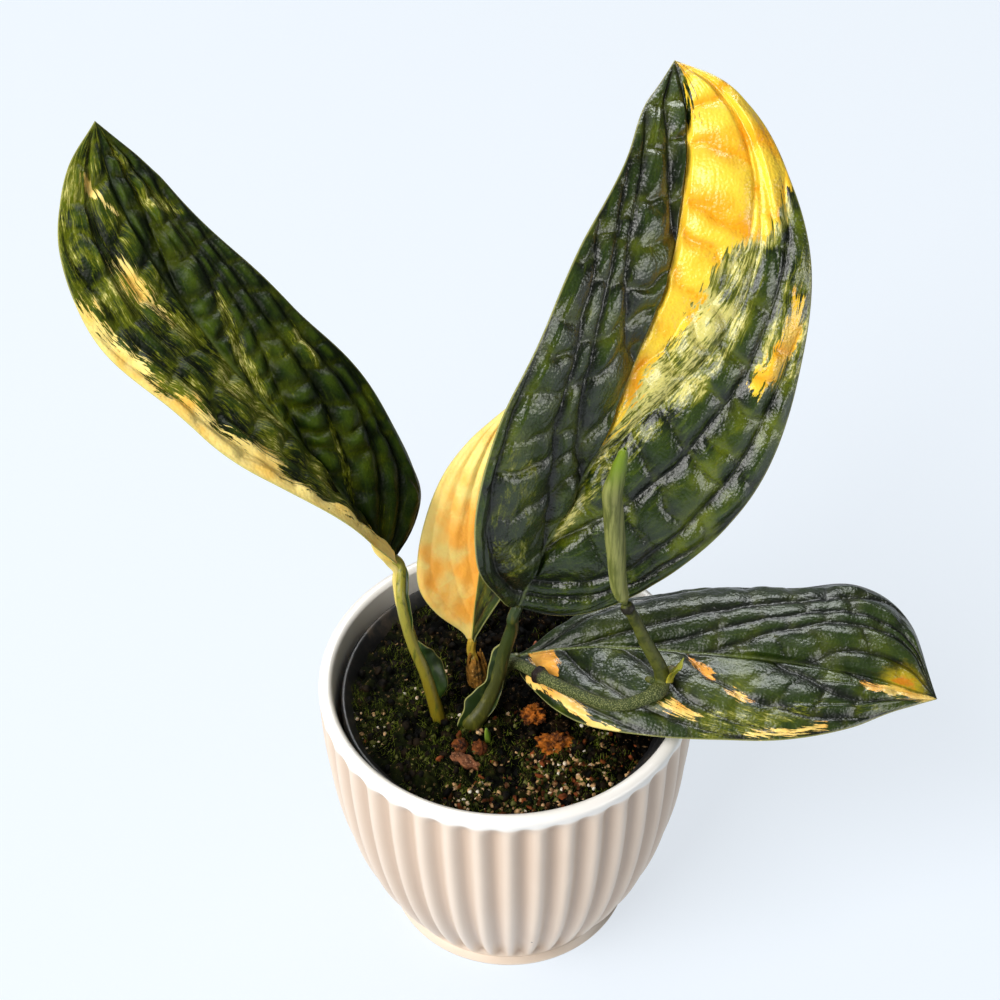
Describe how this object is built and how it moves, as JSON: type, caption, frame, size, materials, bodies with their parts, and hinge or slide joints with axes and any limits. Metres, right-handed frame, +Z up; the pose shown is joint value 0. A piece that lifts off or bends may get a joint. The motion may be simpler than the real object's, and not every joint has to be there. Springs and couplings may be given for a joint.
{
  "type": "potted variegated monstera peru",
  "caption": "Young aroid house plant with quilted, yellow-variegated leaves on short stalks, growing in a nursery pot inside a fluted ceramic cachepot.",
  "frame": {"origin": "centre of the cachepot's flat foot, on the surface it stands on", "axes": "+Z up, -Y towards the viewer, +X to the viewer's right"},
  "size_m": [0.2614, 0.1413, 0.2753],
  "materials": {
    "glaze": "satin",
    "nursery_plastic": "satin",
    "soil": "matte",
    "rootstock": "matte",
    "stalk_yellow_green": "satin",
    "stalk_green": "satin",
    "dry_sheath": "matte",
    "runner": "matte",
    "young_green": "satin",
    "blade": "gloss",
    "yellow_blade": "satin",
    "fibre": "matte",
    "bark": "matte"
  },
  "bodies": {
    "root": {"cachepot": "glaze", "nursery_pot": "nursery_plastic", "soil": "soil", "rootstock": "rootstock", "left_petiole": "stalk_yellow_green", "centre_petiole": "stalk_green", "yellow_petiole": "stalk_yellow_green", "right_petiole": "stalk_green", "dry_sheath": "dry_sheath", "runner": "runner", "node_sheath": "young_green", "furled_leaf": "young_green", "left_leaf": "blade", "big_leaf": "blade", "yellow_leaf": "yellow_blade", "right_leaf": "blade", "fibre_lump_left": "fibre", "fibre_lump_right": "fibre", "sprout_left": "young_green", "sprout_right": "young_green", "dry_stalk_left": "bark", "dry_stalk_right": "bark", "bark_chip": "bark"}
  },
  "joints": []
}
